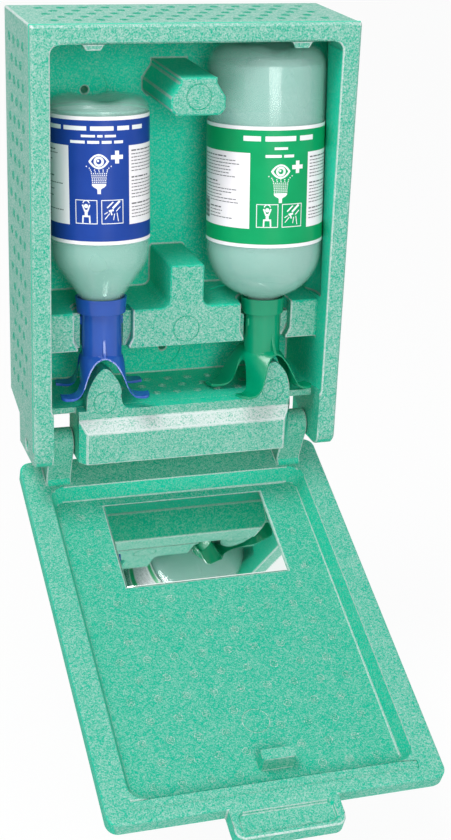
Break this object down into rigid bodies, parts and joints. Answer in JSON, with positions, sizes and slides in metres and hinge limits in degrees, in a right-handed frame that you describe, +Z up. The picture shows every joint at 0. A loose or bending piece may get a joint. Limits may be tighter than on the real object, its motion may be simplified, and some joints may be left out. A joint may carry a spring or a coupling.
{
  "type": "eyewash station",
  "caption": "Wall-mounted double eyewash station: a foam cabinet with a fold-down lid and mirror, holding a small and a large wash bottle, upside down, each on a four-footed eye cup.",
  "frame": {"origin": "the wall plane, on the cabinet's centre line, at the middle of the cabinet's height", "axes": "+Z up, the cabinet opens towards -Y, its back lies on the wall at Y = 0, +X to the right seen from the front"},
  "size_m": [0.2444, 0.3719, 0.4975],
  "materials": {
    "foam": "moulded bead foam, fine speckle",
    "mirror": "polished",
    "tape": "foam tape",
    "bottle_plastic": "milky translucent polyethylene",
    "wash_solution": "clear liquid",
    "label_film": "printed film",
    "membrane_film": "sealed film",
    "blue_plastic": "glossy moulded",
    "green_plastic": "glossy moulded",
    "seal_rubber": "soft",
    "insert_plastic": "moulded"
  },
  "bodies": {
    "cabinet": {"case_body": "foam", "small_eye_cup": "blue_plastic", "small_seal_ring": "seal_rubber", "small_spray_insert": "insert_plastic", "large_eye_cup": "green_plastic", "large_seal_ring": "seal_rubber", "large_spray_insert": "insert_plastic"},
    "lid": {"lid": "foam", "mirror_plate": "mirror", "mirror_tape": "tape"},
    "small_bottle": {"small_bottle": "bottle_plastic", "small_solution": "wash_solution", "small_label": "label_film", "small_membrane": "membrane_film"},
    "large_bottle": {"large_bottle": "bottle_plastic", "large_solution": "wash_solution", "large_label": "label_film", "large_membrane": "membrane_film"}
  },
  "joints": [
    {"name": "lid_hinge", "type": "hinge", "parent": "cabinet", "child": "lid", "pos_m": [0, -0.0713, -0.1542], "axis": [1, 0, 0], "range_deg": [-113.8, 0]},
    {"name": "small_bottle_twist", "type": "hinge", "parent": "cabinet", "child": "small_bottle", "pos_m": [-0.0628, -0.0753, -0.0632], "axis": [0, 0.0872, 0.9962], "range_deg": [0, 90]},
    {"name": "large_bottle_twist", "type": "hinge", "parent": "cabinet", "child": "large_bottle", "pos_m": [0.0647, -0.0753, -0.0632], "axis": [0, 0.0872, 0.9962], "range_deg": [0, 90]}
  ]
}
